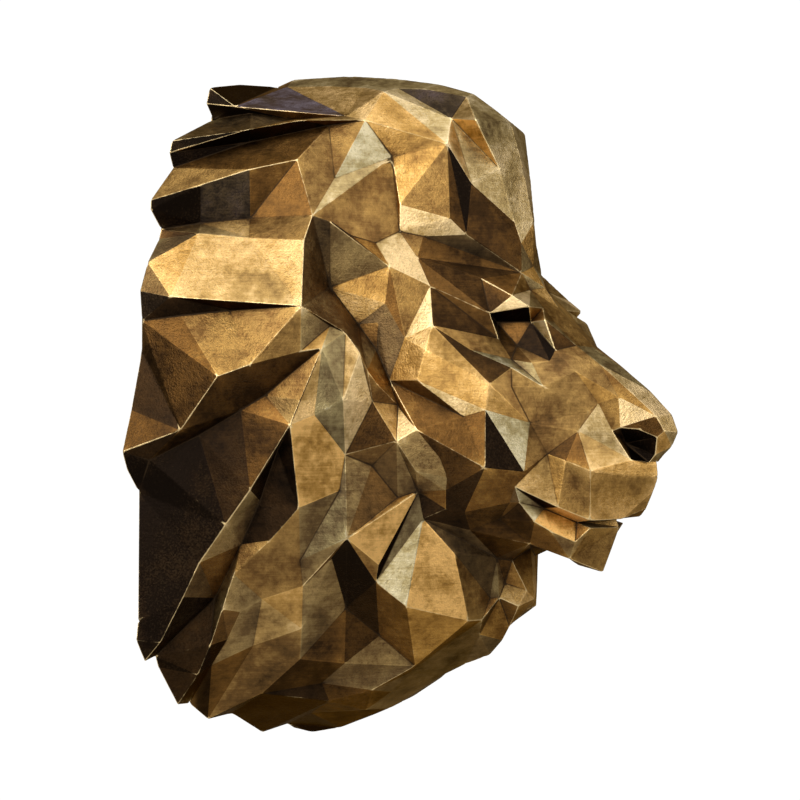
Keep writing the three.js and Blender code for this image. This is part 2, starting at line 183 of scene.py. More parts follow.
# Lamps: steps from the middle of the back in metres, towards the camera, to the right and up, then the
# width, the setting that holds the power, and the colour.
LAMPS = (
    ("key_lamp", (1.5, -1.0, 1.25), 1.1, "key_power", WARM_LIGHT),
    ("top_lamp", (0.3, 0.5, 2.2), 1.8, "top_power", DAY_LIGHT),
    ("fill_lamp", (1.1, 2.0, 0.7), 1.6, "fill_power", WARM_LIGHT),
    ("front_lamp", (2.1, -0.45, 0.25), 1.5, "front_power", WARM_LIGHT),
)

# The floor: its radius in metres, its number of corners, its faint noise, how much paler that makes it,
# and its roughness.
FLOOR_RADIUS = 2.2
FLOOR_CORNERS = 96
FLOOR_NOISE = (3, 2)
FLOOR_PALER = 1.03
FLOOR_ROUGHNESS = 0.9

# The camera's sensor in millimetres, and the nearest that it sees in metres.
SENSOR_WIDTH = 36.0
NEAREST_SEEN = 0.05

# The surroundings: white as the camera sees them, dim and warm as they light the mask.
WHITE_STRENGTH = 1.05
DIM_COLOUR = (1.0, 0.93, 0.83, 1.0)
DIM_STRENGTH = 0.24

# What polish, fire and grime did to single facets, with painted light and shade: how brightly each facet
# is lit is painted into its brightness and warmth. Each finish has a brightness from 0, black, to 1, pale,
# a warmth from 0, grey, to 1, orange, or below 0 for the blue of heated brass, and the places of its
# facets, the middles of CAD triangles, in millimetres: out from the middle plane, forward from the wall and
# up. The places were copied from a printed list of those middles, and the finishes were judged. Where two
# places lie on one facet, the later one counts.
FACET_PATINA_AND_PAINTED_LIGHT = (
    ("grey brown", 0.30, 0.30, (
        (117, 86, 93), (109, 88, 98), (127, 90, 74), (123, 97, 56), (112, 104, 47), (102, 102, 49),
        (58, 155, -89), (56, 158, -85), (39, 161, -107), (62, 87, -173), (55, 90, -179), (12, 94, -192),
        (159, 29, -113), (95, 36, 177), (102, 20, 178), (119, 12, 170), (46, 160, 84), (48, 150, 92),
        (25, 106, -182), (25, 127, -167), (20, 141, -159), (13, 118, -177), (42, 98, -183),
        (7, 144, -163), (84, 123, 60), (86, 121, 49), (87, 122, 33), (88, 116, 30), (40, 154, 96),
        (33, 166, 107),
    )),
    ("black", 0.01, 0.50, (
        (43, 150, 134), (37, 186, 52), (43, 180, 54), (75, 167, 29), (73, 189, -30), (13, 258, -23),
        (17, 251, -21), (10, 260, -28), (8, 258, -33), (11, 254, -34), (34, 203, 35), (91, 6, 198),
        (63, 6, 202), (104, 6, 192), (103, 6, 185), (136, 12, 161), (133, 10, 153), (122, 22, 162),
        (154, 15, 119), (163, 8, 123), (157, 7, 110), (171, 32, -44), (176, 20, -56), (170, 28, -76),
        (176, 11, -96), (173, 20, -117), (175, 12, -133), (161, 21, -129), (180, 4, -142),
        (178, 4, -150), (192, 3, -36), (186, 3, -45), (101, 106, -109), (108, 99, -103), (94, 126, -90),
        (64, 32, -201), (49, 206, -62),
    )),
    ("soot brown", 0.08, 0.60, (
        (189, 14, -28), (144, 61, -78), (141, 73, -70), (144, 84, -37), (142, 75, -52), (149, 68, -48),
        (74, 53, -187), (168, 31, 56), (162, 56, 57), (103, 42, 170), (92, 55, 171), (147, 5, -175),
        (150, 14, -159), (122, 7, -187), (70, 11, -204), (82, 103, -130), (77, 160, -64),
        (82, 147, -65), (73, 154, -74), (69, 161, -72), (79, 170, -55), (184, 11, 2), (161, 52, -27),
        (163, 50, -50), (149, 18, -143), (35, 195, 36),
    )),
    ("dark brown", 0.16, 0.75, (
        (48, 147, 127), (22, 168, 117), (33, 162, 107), (22, 170, 106), (65, 155, 52), (191, 11, -18),
        (86, 168, -41), (84, 168, -48), (90, 163, -31), (60, 178, -69), (60, 169, -75), (52, 192, -71),
        (45, 192, -80), (48, 179, -82), (40, 174, -90), (79, 69, -170), (86, 52, -177), (181, 30, 15),
        (174, 49, -3), (168, 61, 10), (179, 26, -25), (170, 42, -15), (28, 210, 38), (74, 91, -149),
        (15, 267, -16), (47, 221, -30), (53, 155, 73), (42, 158, 82), (155, 70, -25), (13, 50, -211),
        (61, 72, -187), (45, 59, -201), (49, 76, -194), (67, 181, 20), (46, 174, 65), (111, 122, -20),
    )),
    ("brown", 0.28, 0.75, (
        (86, 144, 5), (89, 146, -5), (87, 167, -23), (70, 180, -58), (68, 190, -52), (68, 193, -46),
        (54, 163, 54), (39, 177, 40), (150, 37, -103), (65, 118, -149), (83, 118, -129), (84, 78, -153),
        (119, 21, -174), (124, 55, 134), (127, 26, 150), (98, 58, 162), (35, 207, -90), (45, 230, -33),
        (81, 121, 66), (82, 125, 76), (176, 26, 38), (43, 190, 27), (43, 206, -74), (62, 148, 71),
        (47, 146, 91), (35, 176, 74), (73, 130, 81), (120, 67, 125), (80, 179, -19), (116, 49, 151),
        (152, 72, -6), (35, 183, 44),
    )),
    ("olive brown", 0.42, 0.35, (
        (93, 151, -36), (95, 140, -41), (94, 135, -47), (88, 148, -51), (97, 146, -26), (158, 45, -87),
        (150, 54, -75), (155, 59, -63), (135, 79, -83), (142, 47, -119), (128, 32, -155),
        (130, 40, -144), (129, 48, -135), (128, 91, -73), (122, 99, -79), (122, 90, -99),
        (104, 86, -123), (115, 83, -117), (96, 74, -145), (60, 100, -162), (11, 254, -59),
        (6, 260, -51), (12, 258, -44), (4, 275, -23), (95, 103, 98), (96, 99, 88),
    )),
    ("tan brown", 0.42, 0.60, (
        (95, 77, 154), (81, 85, 163), (142, 24, 139), (155, 8, 133), (76, 104, 120), (96, 95, 126),
        (129, 61, 108), (130, 75, 103), (169, 43, 40), (158, 72, 44), (168, 59, 30), (155, 87, 35),
        (145, 89, 11), (38, 223, 8), (47, 215, -4), (39, 226, 0), (55, 201, 1), (63, 193, 1),
        (54, 204, -30), (49, 214, -22), (45, 221, -13), (34, 213, 24), (27, 222, 24), (22, 220, 29),
        (23, 245, -65), (43, 225, -59), (43, 232, -51), (6, 207, 47), (12, 214, 39), (42, 159, -120),
        (50, 158, -124), (102, 45, -168), (105, 25, -181), (107, 58, -153), (9, 228, -96),
        (19, 229, -86), (133, 69, -102), (140, 57, -104), (126, 72, -111), (145, 55, -93),
        (54, 135, 133), (40, 197, 27), (109, 81, 133), (71, 122, 93), (63, 126, 99), (79, 130, 64),
    )),
    ("russet", 0.46, 1.00, (
        (61, 137, -145), (86, 108, 94),
    )),
    ("orange", 0.80, 1.00, (
        (104, 127, -61), (35, 212, -75), (33, 218, -82), (33, 226, -74),
    )),
    ("gold", 0.56, 0.70, (
        (59, 115, 164), (53, 110, 179), (57, 122, 146), (81, 160, 29), (79, 171, 12), (85, 157, 12),
        (88, 140, 27), (88, 132, 21), (68, 189, -3), (99, 127, -67), (33, 242, -55), (27, 249, -42),
        (167, 15, 83), (54, 177, 31), (89, 108, 71), (48, 217, -45), (120, 69, -126), (65, 164, 38),
    )),
    ("olive gold", 0.60, 0.30, (
        (40, 124, 180), (39, 144, 160), (31, 153, 155), (92, 94, 135), (26, 165, 132), (33, 108, 194),
        (21, 163, 168), (8, 168, 158), (13, 171, 136), (5, 176, 125), (17, 153, 184),
    )),
    ("tan", 0.62, 0.55, (
        (44, 47, 199), (43, 67, 198), (47, 82, 195), (58, 86, 186), (143, 97, 2), (123, 113, 23),
        (156, 32, 88), (84, 142, 38), (52, 208, -51), (91, 107, 60), (35, 240, -33), (156, 56, 72),
        (140, 78, 84), (28, 144, 184), (119, 57, -139),
    )),
    ("pale", 0.72, 0.40, (
        (82, 164, -1), (97, 137, -15), (58, 131, 108), (61, 127, 114), (52, 143, 107), (76, 115, 96),
        (46, 185, 59), (34, 189, 64), (33, 237, -13), (29, 243, -25), (18, 259, -7), (5, 268, -5),
        (78, 140, 52), (119, 117, 9), (120, 115, -11),
    )),
    ("bright gold", 0.80, 0.90, (
        (74, 145, -113), (66, 152, -102), (31, 154, 168), (137, 99, -19), (131, 101, -34),
        (137, 94, -45), (102, 124, -80),
    )),
    ("grey", 0.44, 0.05, (
        (131, 107, -14), (129, 108, 24), (136, 105, 7), (88, 134, -80), (121, 109, -57),
    )),
    ("silver", 0.72, 0.00, (
        (75, 97, 156), (63, 195, -21), (89, 131, -104), (58, 182, 25), (52, 198, -61), (48, 201, -68),
        (32, 201, 43),
    )),
    ("dark heat blue", 0.16, -0.30, (
        (27, 115, 195), (141, 30, 118), (137, 39, 129), (23, 130, 193),
    )),
    ("heat blue", 0.42, -0.80, (
        (67, 37, 192),
    )),
)


def welded(mesh):
    """Points and triangles of a mesh of loose triangles, with corners at one place made one point."""
    mesh.calc_loop_triangles()
    places = np.empty(len(mesh.vertices) * 3, np.float32)
    mesh.vertices.foreach_get("co", places)
    corners = np.empty(len(mesh.loop_triangles) * 3, np.int32)
    mesh.loop_triangles.foreach_get("vertices", corners)
    places = places.reshape(-1, 3).astype(float)
    rounded = np.round(places * WELD_STEPS_PER_METRE)
    _, first, same = np.unique(rounded, axis=0, return_index=True, return_inverse=True)
    return places[first], same.reshape(-1)[corners].reshape(-1, 3)


def neighbours(triangles):
    """The start and end point of each side of each triangle, the side of the next triangle that runs
    along it, and the number of the edge they share, found by sorting the sides on their two ends."""
    start = triangles.reshape(-1)
    end = np.roll(triangles, -1, axis=1).reshape(-1)
    order = np.lexsort((np.maximum(start, end), np.minimum(start, end)))
    twin = np.empty_like(order)
    twin[order[0::2]] = order[1::2]
    twin[order[1::2]] = order[0::2]
    edge = np.empty_like(order)
    edge[order] = np.arange(len(order)) // 2
    return start, end, twin, edge


def face_normals(points, triangles):
    """The cross product of two sides of each triangle: along its normal, and as long as twice its area."""
    first, second, third = points[triangles[:, 0]], points[triangles[:, 1]], points[triangles[:, 2]]
    return np.cross(second - first, third - first)


def unit(vectors):
    """Each vector divided by its length."""
    return vectors / np.maximum(np.linalg.norm(vectors, axis=-1, keepdims=True), TINY)


def bends(points, triangles, start, end, twin):
    """How far the surface turns at each side, in radians: above 0 on a ridge, below 0 in a groove."""
    normals = unit(face_normals(points, triangles))
    middles = points[triangles].mean(axis=1)
    own = np.repeat(np.arange(len(triangles)), 3)
    other = own[twin]
    turn = np.arccos(np.clip((normals[own] * normals[other]).sum(axis=1), -1, 1))
    falls = (normals[own] * (middles[other] - middles[own])).sum(axis=1) < 0
    return np.where(falls, turn, -turn)


def facet_groups(triangles, twin, bend, limit):
    """One number for all triangles of a facet: each takes the lowest number among its neighbours
    across sides that turn less than the limit, until none changes."""
    group = np.arange(len(triangles))
    own = np.repeat(group, 3)
    flat = np.abs(bend) < limit
    inside, outside = own[flat], own[twin[flat]]
    while True:
        lower = group.copy()
        np.minimum.at(lower, inside, group[outside])
        if (lower == group).all():
            return group
        group = lower


def softened(points, triangles, width):
    """The same surface with every edge and corner rounded.

    Each triangle is moved in from its sides by the width, or by a share of its inner circle where it is
    small. A strip with a middle line fills the gap along each edge, and a fan the gap at each corner.
    The middle line lies half way from the old edge to the straight cut between the two triangles.
    Returns the points with their share of ridge and groove, the triangles and the facet each came from.
    """
    start, end, twin, edge = neighbours(triangles)
    bend = bends(points, triangles, start, end, twin)
    corners = points[triangles]
    far_side = np.linalg.norm(np.roll(corners, -1, axis=1) - np.roll(corners, -2, axis=1), axis=2)
    around = far_side.sum(axis=1)
    centre = (corners * far_side[:, :, None]).sum(axis=1) / around[:, None]
    radius = np.linalg.norm(face_normals(points, triangles), axis=1) / around
    share = np.minimum(width / radius, MOST_OF_CIRCLE)
    inner = (corners + (centre[:, None] - corners) * share[:, None, None]).reshape(-1, 3)

    sides = len(start)
    at_start = np.arange(sides)
    at_end = np.roll(at_start.reshape(-1, 3), -1, axis=1).reshape(-1)
    cut = (inner[at_start] + inner[at_end[twin]]) / 2
    along = unit(points[end] - points[start])
    from_start = cut - points[start]
    foot = points[start] + along * (from_start * along).sum(axis=1)[:, None]
    line = (cut + foot) / 2
    low_end = start < end
    line_number = edge * 2 + np.where(low_end, 0, 1)
    lines = np.empty((sides, 3))
    lines[line_number] = line

    total = np.zeros_like(points)
    np.add.at(total, start, inner[at_start] + line)
    count = np.bincount(start, minlength=len(points))[:, None] * 2
    tips = points + (total / count - points) * CORNER_ROUNDING

    ridge = np.clip((bend - RIDGE_STARTS) / RIDGE_SPAN, 0, 1)
    groove = np.clip(-bend / GROOVE_SPAN, 0, 1)
    tip_ridge = np.zeros(len(points))
    tip_groove = np.zeros(len(points))
    np.maximum.at(tip_ridge, start, ridge)
    np.maximum.at(tip_groove, start, groove)
    line_marks = np.empty((sides, 2))
    line_marks[line_number] = np.stack([ridge, groove], axis=1)
    rows = np.vstack([
        np.hstack([inner, np.zeros((sides, 2))]),
        np.hstack([lines, line_marks]),
        np.hstack([tips, np.stack([tip_ridge, tip_groove], axis=1)]),
    ])

    line_at_start = sides + line_number
    line_at_end = sides + line_number[twin]
    tip = 2 * sides + start
    before = np.roll(at_start.reshape(-1, 3), 1, axis=1).reshape(-1)
    flat = at_start.reshape(-1, 3)
    strip_one = np.stack([at_end, at_start, line_at_start], axis=1)
    strip_two = np.stack([at_end, line_at_start, line_at_end], axis=1)
    fan_one = np.stack([tip, line_at_start, at_start], axis=1)
    fan_two = np.stack([tip, at_start, line_at_end[before]], axis=1)
    own = np.repeat(np.arange(len(triangles)), 3)
    faces = np.vstack([flat, strip_one, strip_two, fan_one, fan_two])
    owner = np.concatenate([np.arange(len(triangles)), own, own, own, own])
    return rows, faces, owner, bend, twin


def split_long(rows, faces, owner, longest):
    """Halves every side longer than the limit, again and again, and cuts each triangle to match: into
    two, three or four. Neighbours share the new points, so the surface stays closed. The limit is half
    as long on a ridge, and sides on the flat back stay whole."""
    while True:
        start = faces.reshape(-1)
        end = np.roll(faces, -1, axis=1).reshape(-1)
        key = np.minimum(start, end).astype(np.int64) * len(rows) + np.maximum(start, end)
        _, first, side = np.unique(key, return_index=True, return_inverse=True)
        one_end, other_end = rows[start[first]], rows[end[first]]
        length = np.linalg.norm(one_end[:, :3] - other_end[:, :3], axis=1)
        on_ridge = np.minimum(one_end[:, 3], other_end[:, 3]) > FINE_RIDGE
        on_back = np.minimum(one_end[:, 1], other_end[:, 1]) > -BACK_REACH
        long = (length > np.where(on_ridge, longest / 2, longest)) & ~on_back
        if not long.any():
            return rows, faces, owner
        number = np.full(len(first), -1)
        number[long] = len(rows) + np.arange(long.sum())
        halfway = (rows[start[first[long]]] + rows[end[first[long]]]) / 2
        rows = np.vstack([rows, halfway])
        middle = number[side.reshape(-1)].reshape(-1, 3)
        halved = (middle >= 0).sum(axis=1)
        turn = np.where(halved == 1, np.argmax(middle >= 0, axis=1), 0)
        turn = np.where(halved == 2, (np.argmin(middle >= 0, axis=1) + 1) % 3, turn)
        pick = (turn[:, None] + np.arange(3)) % 3
        a, b, c = np.take_along_axis(faces, pick, axis=1).T
        ab, bc, ca = np.take_along_axis(middle, pick, axis=1).T
        one, two, three = halved == 1, halved == 2, halved == 3
        across = np.linalg.norm(rows[a, :3] - rows[bc, :3], axis=1)
        other_way = np.linalg.norm(rows[ab, :3] - rows[c, :3], axis=1)
        near, far = two & (across <= other_way), two & (across > other_way)
        cuts = [
            (halved == 0, a, b, c),
            (one, a, ab, c), (one, ab, b, c),
            (two, ab, b, bc),
            (near, a, ab, bc), (near, a, bc, c),
            (far, a, ab, c), (far, ab, bc, c),
            (three, a, ab, ca), (three, ab, b, bc), (three, ca, bc, c), (three, ab, bc, ca),
        ]
        faces = np.vstack([np.stack([p, q, r], axis=1)[chosen] for chosen, p, q, r in cuts])
        owner = np.concatenate([owner[chosen] for chosen, p, q, r in cuts])


def lattice_noise(places, wavelength, seed):
    """A smooth random number from -1 to 1 at each place: numbers drawn for the corners of a lattice of
    cubes a wavelength apart, mixed by an eased share of the way across the cube."""
    numbers = np.random.default_rng(seed).uniform(-1, 1, (LATTICE_CUBES,) * 3)
    cell = places / wavelength
    corner = np.floor(cell).astype(int)
    share = cell - corner
    share = share * share * (3 - 2 * share)
    result = np.zeros(len(places))
    for x in (0, 1):
        for y in (0, 1):
            for z in (0, 1):
                weight = np.abs(1 - x - share[:, 0]) * np.abs(1 - y - share[:, 1])
                weight = weight * np.abs(1 - z - share[:, 2])
                i, j, k = (corner + (x, y, z)).T % LATTICE_CUBES
                result += weight * numbers[i, j, k]
    return result


def point_normals(points, faces):
    """The normal at each point: the normals of its triangles, each weighted by its area squared, so that
    wide facets stay flat and only the narrow strips between them look rounded."""
    normal = face_normals(points, faces)
    weighted = normal * np.linalg.norm(normal, axis=1)[:, None]
    total = np.zeros_like(points)
    for corner in range(3):
        for axis in range(3):
            total[:, axis] += np.bincount(faces[:, corner], weighted[:, axis], len(points))
    return unit(total)


def hollowness(points, faces, normals, rounds):
    """How far each point lies below the surface smoothed around it, in metres: each round moves every
    point half way to the middle of its neighbours, and the distance is taken along the first normal."""
    start = faces.reshape(-1)
    end = np.roll(faces, -1, axis=1).reshape(-1)
    count = np.bincount(start, minlength=len(points))[:, None]
    smooth = points
    for _ in range(rounds):
        total = [np.bincount(start, smooth[end, axis], len(points)) for axis in range(3)]
        smooth = (smooth + np.stack(total, axis=1) / count) / 2
    return ((smooth - points) * normals).sum(axis=1)


def eased(points, faces, rounds, limit):
    """The surface with its gentle folds rolled over a wider strip, while sharp edges stay as they are.

    Each round moves a point along its own normal, half way to the middle of its neighbours. A neighbour
    counts by how near its normal is to the point's, and not at all past the limit, in radians.
    """
    normals = point_normals(points, faces)
    start = faces.reshape(-1)
    end = np.roll(faces, -1, axis=1).reshape(-1)
    alike = (normals[start] * normals[end]).sum(axis=1)
    lowest = math.cos(limit)
    weight = np.clip((alike - lowest) / (1 - lowest), 0, 1)
    count = np.bincount(start, weight, len(points))[:, None] + LEAST_COUNT
    for _ in range(rounds):
        total = [np.bincount(start, weight * points[end, axis], len(points)) for axis in range(3)]
        step = np.stack(total, axis=1) / count - points
        step[count[:, 0] < FEWEST_ALIKE] = 0
        points = points + normals * (step * normals).sum(axis=1)[:, None] / 2
    return points


def facet_patina_and_painted_light(points, triangles, bend, twin):
    """Brightness and warmth of each CAD triangle. Triangles of one facet share them.

    Brightness is a middle value plus painted light for facing up and a seeded random number, less painted
    shade for facing down, for lying close to the wall, and for lying low and far back. The flat back has
    one brightness. Each listed finish, partly patina and partly painted light and shade, then goes to the
    facets nearest its places, on the left and the right half alike: first with all that lies nearly in one
    plane with them, then more closely.
    """
    group = facet_groups(triangles, twin, bend, math.radians(ROUGH_TURN))
    close = facet_groups(triangles, twin, bend, math.radians(CLOSE_TURN))
    area_normal = face_normals(points, triangles)
    sums = [np.bincount(group, area_normal[:, axis], len(triangles)) for axis in range(3)]
    upward = unit(np.stack(sums, axis=1))[group, 2]
    draw = np.random.default_rng(FACET_SEED)
    middles = points[triangles].mean(axis=1) * MM_PER_METRE
    from_wall = -middles[:, 1]
    # Painted shade close to the wall, and low down at the rear.
    near_wall = np.clip((WALL_SHADE_END - from_wall) / WALL_SHADE_FADE, 0, 1)
    low_rear = np.clip((REAR_SHADE_END - from_wall) / REAR_SHADE_FADE, 0, 1)
    low_rear = low_rear * np.clip(-middles[:, 2] / LOW_SHADE_DEPTH, 0, 1)
    # Painted light on facets facing up, painted shade on facets facing down.
    bright = MIDDLE_BRIGHT + UPWARD_PAINTED_LIGHT * np.maximum(upward, 0)
    bright = bright - DOWNWARD_PAINTED_SHADE * np.maximum(-upward - DOWNWARD_SHADE_STARTS, 0)
    chance = BRIGHT_CHANCE * draw.uniform(-1, 1, len(triangles))[group]
    bright += chance - WALL_PAINTED_SHADE * near_wall - LOW_REAR_PAINTED_SHADE * low_rear
    warmth = MIDDLE_WARMTH + WARMTH_CHANCE * draw.uniform(-1, 1, len(triangles))[group]
    bright[unit(area_normal)[:, 1] > BACKWARD] = BACK_BRIGHT
    # Listed finishes: partly patina, polish and heat tint, partly painted light and shade.
    for alike in (group, close):
        for _, shine, tint, places in FACET_PATINA_AND_PAINTED_LIGHT:
            for out, forward, up in places:
                for side in (-out, out):
                    away = np.linalg.norm(middles - (side, -forward, up), axis=1)
                    facet = alike == alike[np.argmin(away)]
                    bright[facet] = shine
                    warmth[facet] = tint
    return np.clip(bright, 0, 1), np.clip(warmth, -1, 1)


def cast_surface(sizes):
    """Points, triangles, normals and surface marks of the casting.

    The CAD facets are softened at their edges, cut fine and eased. Each point then moves along its
    normal by two scales of lattice noise, and inward where a ridge is nicked, by the square of a finer
    noise. The move fades out towards the flat back, and the result is kept inside the CAD box.
    """
    points, triangles = welded(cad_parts[CAD_NODE].data)
    rows, faces, owner, bend, twin = softened(points, triangles, sizes.edge_width / 2)
    rows, faces, owner = split_long(rows, faces, owner, sizes.longest_side)
    places = eased(rows[:, :3], faces, EASING_ROUNDS, math.radians(EASING_TURN))
    ridge, groove = rows[:, 3], rows[:, 4]
    normals = point_normals(places, faces)
    hollow = hollowness(places, faces, normals, HOLLOW_ROUNDS)
    wave = SLOW_SHARE * lattice_noise(places, SLOW_WAVE, SLOW_SEED)
    wave = wave + QUICK_SHARE * lattice_noise(places, QUICK_WAVE, QUICK_SEED)
    nick = np.clip(lattice_noise(places, NICK_WAVE, NICK_SEED), 0, 1) ** 2 * ridge
    fade = np.clip(-places[:, 1] / WAVE_FADE, 0, 1)
    move = fade * (wave * sizes.wave_depth - nick * sizes.nick_depth)
    places = places + normals * move[:, None]
    places = np.clip(places, CAD_BOX[0], CAD_BOX[1])
    bright, warmth = facet_patina_and_painted_light(points, triangles, bend, twin)
    marks = {
        "ridge": ridge,
        "groove": groove,
        "hollow": np.clip(hollow / FULL_HOLLOW, -1, 1),
        "bright": bright[owner],
        "warmth": warmth[owner],
    }
    return places, faces, point_normals(places, faces), marks


def piece_from(name, points, faces, normals, marks, material):
    """A mesh object of triangles, shaded smooth by the given normals, with each mark as an attribute on
    its points or its faces, by how many numbers it has."""
    mesh = bpy.data.meshes.new(name)
    mesh.vertices.add(len(points))
    mesh.vertices.foreach_set("co", points.astype(np.float32).ravel())
    mesh.loops.add(len(faces) * 3)
    mesh.loops.foreach_set("vertex_index", faces.astype(np.int32).ravel())
    mesh.polygons.add(len(faces))
    mesh.polygons.foreach_set("loop_start", np.arange(0, len(faces) * 3, 3, dtype=np.int32))
    mesh.update(calc_edges=True)
    mesh.polygons.foreach_set("use_smooth", np.ones(len(faces), bool))
    for mark, values in marks.items():
        domain = "POINT" if len(values) == len(points) else "FACE"
        attribute = mesh.attributes.new(mark, "FLOAT", domain)
        attribute.data.foreach_set("value", values.astype(np.float32))
    mesh.validate()
    mesh.normals_split_custom_set_from_vertices(normals.astype(np.float32))
    mesh.materials.append(material)
    piece = bpy.data.objects.new(name, mesh)
    bpy.context.scene.collection.objects.link(piece)
    return piece


class Wire:
    """An output socket of a shader tree. Its operators add Math nodes, and node() adds any other node."""

    def __init__(self, tree, socket=None):
        self.tree = tree
        self.socket = socket

    def node(self, kind, settings=None, sockets=None, output=0):
        """Adds a node: first its settings and ramp stops, then values or links of its sockets."""
        made = self.tree.nodes.new(kind)
        for setting, value in (settings or {}).items():
            if setting == "stops":
                ramp = made.color_ramp
                while len(ramp.elements) < len(value):
                    ramp.elements.new(0.5)
                for element, (position, colour) in zip(ramp.elements, value):
                    element.position = position
                    element.color = colour
            else:
                setattr(made, setting, value)
        for socket, value in (sockets or {}).items():
            if isinstance(value, Wire):
                self.tree.links.new(value.socket, made.inputs[socket])
            else:
                made.inputs[socket].default_value = value
        return Wire(self.tree, made.outputs[output])

    def math(self, operation, first, second):
        """A Math node of two values or links."""
        return self.node("ShaderNodeMath", {"operation": operation}, {0: first, 1: second})

    def __add__(self, other):
        return self.math("ADD", self, other)

    def __radd__(self, other):
        return self.math("ADD", other, self)

    def __sub__(self, other):
        return self.math("SUBTRACT", self, other)

    def __rsub__(self, other):
        return self.math("SUBTRACT", other, self)

    def __mul__(self, other):
        return self.math("MULTIPLY", self, other)

    def __rmul__(self, other):
        return self.math("MULTIPLY", other, self)

    def above(self, low, high):
        """0 below low, 1 above high, and a smooth rise between."""
        settings = {"interpolation_type": "SMOOTHSTEP"}
        return self.node("ShaderNodeMapRange", settings, {"Value": self, "From Min": low, "From Max": high})

    def times(self, shade):
        """This colour with each of its channels multiplied by the shade's."""
        settings = {"data_type": "RGBA", "blend_type": "MULTIPLY"}
        return self.node("ShaderNodeMix", settings, {0: 1.0, 6: self, 7: shade}, 2)

    def paint(self, under, over):
        """The under colour where this value is 0 and the over colour where it is 1."""
        settings = {"data_type": "RGBA", "clamp_factor": True}
        return self.node("ShaderNodeMix", settings, {0: self, 6: under, 7: over}, 2)

    def noise(self, place, scale, detail, roughness=0.55):
        """Blender's noise at a place, around 0.5, with this many lumps to the metre."""
        sockets = {"Vector": place, "Scale": scale, "Detail": detail, "Roughness": roughness}
        return self.node("ShaderNodeTexNoise", None, sockets)

    def mark(self, name):
        """A number that the mesh carries under this name."""
        return self.node("ShaderNodeAttribute", {"attribute_name": name}, None, "Fac")


def opaque(colour):
    """A colour with 1 for its fourth channel."""
    return tuple(colour) + (1.0,)


def aged_brass(colours):
    """Cast brass with a satin finish: facets from black and brown to pale gold, partly painted light and
    shade, with a blue heat tint where the warmth is below 0, dark patina and painted shade in the hollows,
    bright worn edges, fine pits and brushed scratches.

    The tone is the facet's brightness, with its painted light and shade, more or less patchy by five
    noises, and less in a hollow, as painted shade. It picks the colour, which the warmth then tints. Dark
    patina with painted shade in the grooves and hollows, and dark pits, cover it, and wear on the ridges
    covers both.
    """
    material = bpy.data.materials.new("aged_brass")
    material.use_nodes = True
    tree = material.node_tree
    tree.nodes.clear()
    start = Wire(tree)
    place = start.node("ShaderNodeTexCoord", output="Object")
    ridge = start.mark("ridge")
    groove = start.mark("groove")
    hollow = start.mark("hollow")
    bright = start.mark("bright")
    warmth = start.mark("warmth")

    turned = {"Vector": place, "Rotation": BRUSHING_TURN, "Scale": BRUSHING_STRETCH}
    brushed = start.node("ShaderNodeMapping", None, turned)
    cloud = start.noise(place, *CLOUD)
    pits = start.noise(place, *PITS)
    cloud_swing = cloud - 0.5
    pit_swing = pits - 0.5
    blotch_swing = start.noise(place, *BLOTCH) - 0.5
    mottle_swing = start.noise(place, *MOTTLE) - 0.5
    scratch_swing = start.noise(brushed, *SCRATCH) - 0.5

    grainy = cloud.above(*GRAINY_RANGE)
    patchy = cloud_swing * 0.9 + blotch_swing * 1.1 + mottle_swing * 0.75
    patchy = patchy + scratch_swing * 0.35 + pit_swing * grainy * 0.9
    # Painted shade: the tone is darker in a hollow.
    tone = bright + patchy * (bright * 0.9 + 0.12) - hollow * (bright * 0.9 + 0.1)
    tones = (colours.soot_and_shade, colours.dark_patina, colours.brown_brass, colours.gold_brass, colours.pale_brass)
    stops = [(stop, opaque(colour)) for stop, colour in zip(TONE_STOPS, tones)]
    metal = start.node("ShaderNodeValToRGB", {"stops": stops}, {0: tone})
    warm = (warmth + cloud_swing * 0.5).above(*WARM_RANGE)
    heated = (0 - warmth + blotch_swing * 1.4).above(*HEATED_RANGE)
    tinted = warm.paint(metal.times(GREY_SHADE), metal.times(WARM_SHADE))
    tinted = heated.paint(tinted, metal.times(HEAT_SHADE))

    # Dark patina in the grooves and hollows, with painted shade there too.
    patina_and_shade = (groove * 0.8 + hollow * 0.7 + blotch_swing * 0.9).above(*PATINA_AND_SHADE_RANGE)
    speckle = (pits + cloud_swing * 0.7 - 0.5).above(*SPECKLE_RANGE) * (1 - bright * 0.5)
    dirt_and_shade = patina_and_shade.math("MAXIMUM", patina_and_shade, speckle * 0.5)
    dirty_and_shaded = (dirt_and_shade * 0.85).paint(tinted, opaque(colours.dark_patina))

    rubbed = ridge * 1.1 - hollow * 0.35 + blotch_swing * 1.2 + mottle_swing * 0.8
    worn = (rubbed - 0.4).above(*WORN_RANGE)
    finish = (worn * 0.9).paint(dirty_and_shaded, opaque(colours.worn_edge))

    rough = MIDDLE_ROUGHNESS + mottle_swing * 0.22 + dirt_and_shade * 0.22 - worn * 0.12
    metallic = 1 - dirt_and_shade * (1 - worn) * 0.2
    height = mottle_swing * 0.55 + pit_swing * (grainy * 0.7 + 0.3) + scratch_swing * 0.15
    bumps = {"Strength": 1.0, "Distance": RELIEF_HEIGHT, "Height": height}
    relief = start.node("ShaderNodeBump", None, bumps, "Normal")
    shader = start.node("ShaderNodeBsdfPrincipled", None, {
        "Base Color": finish,
        "Roughness": rough,
        "Metallic": metallic,
        "Specular Tint": REFLECTION_TINT,
        "Normal": relief,
    })
    output = tree.nodes.new("ShaderNodeOutputMaterial")
    tree.links.new(shader.socket, output.inputs["Surface"])
    return material


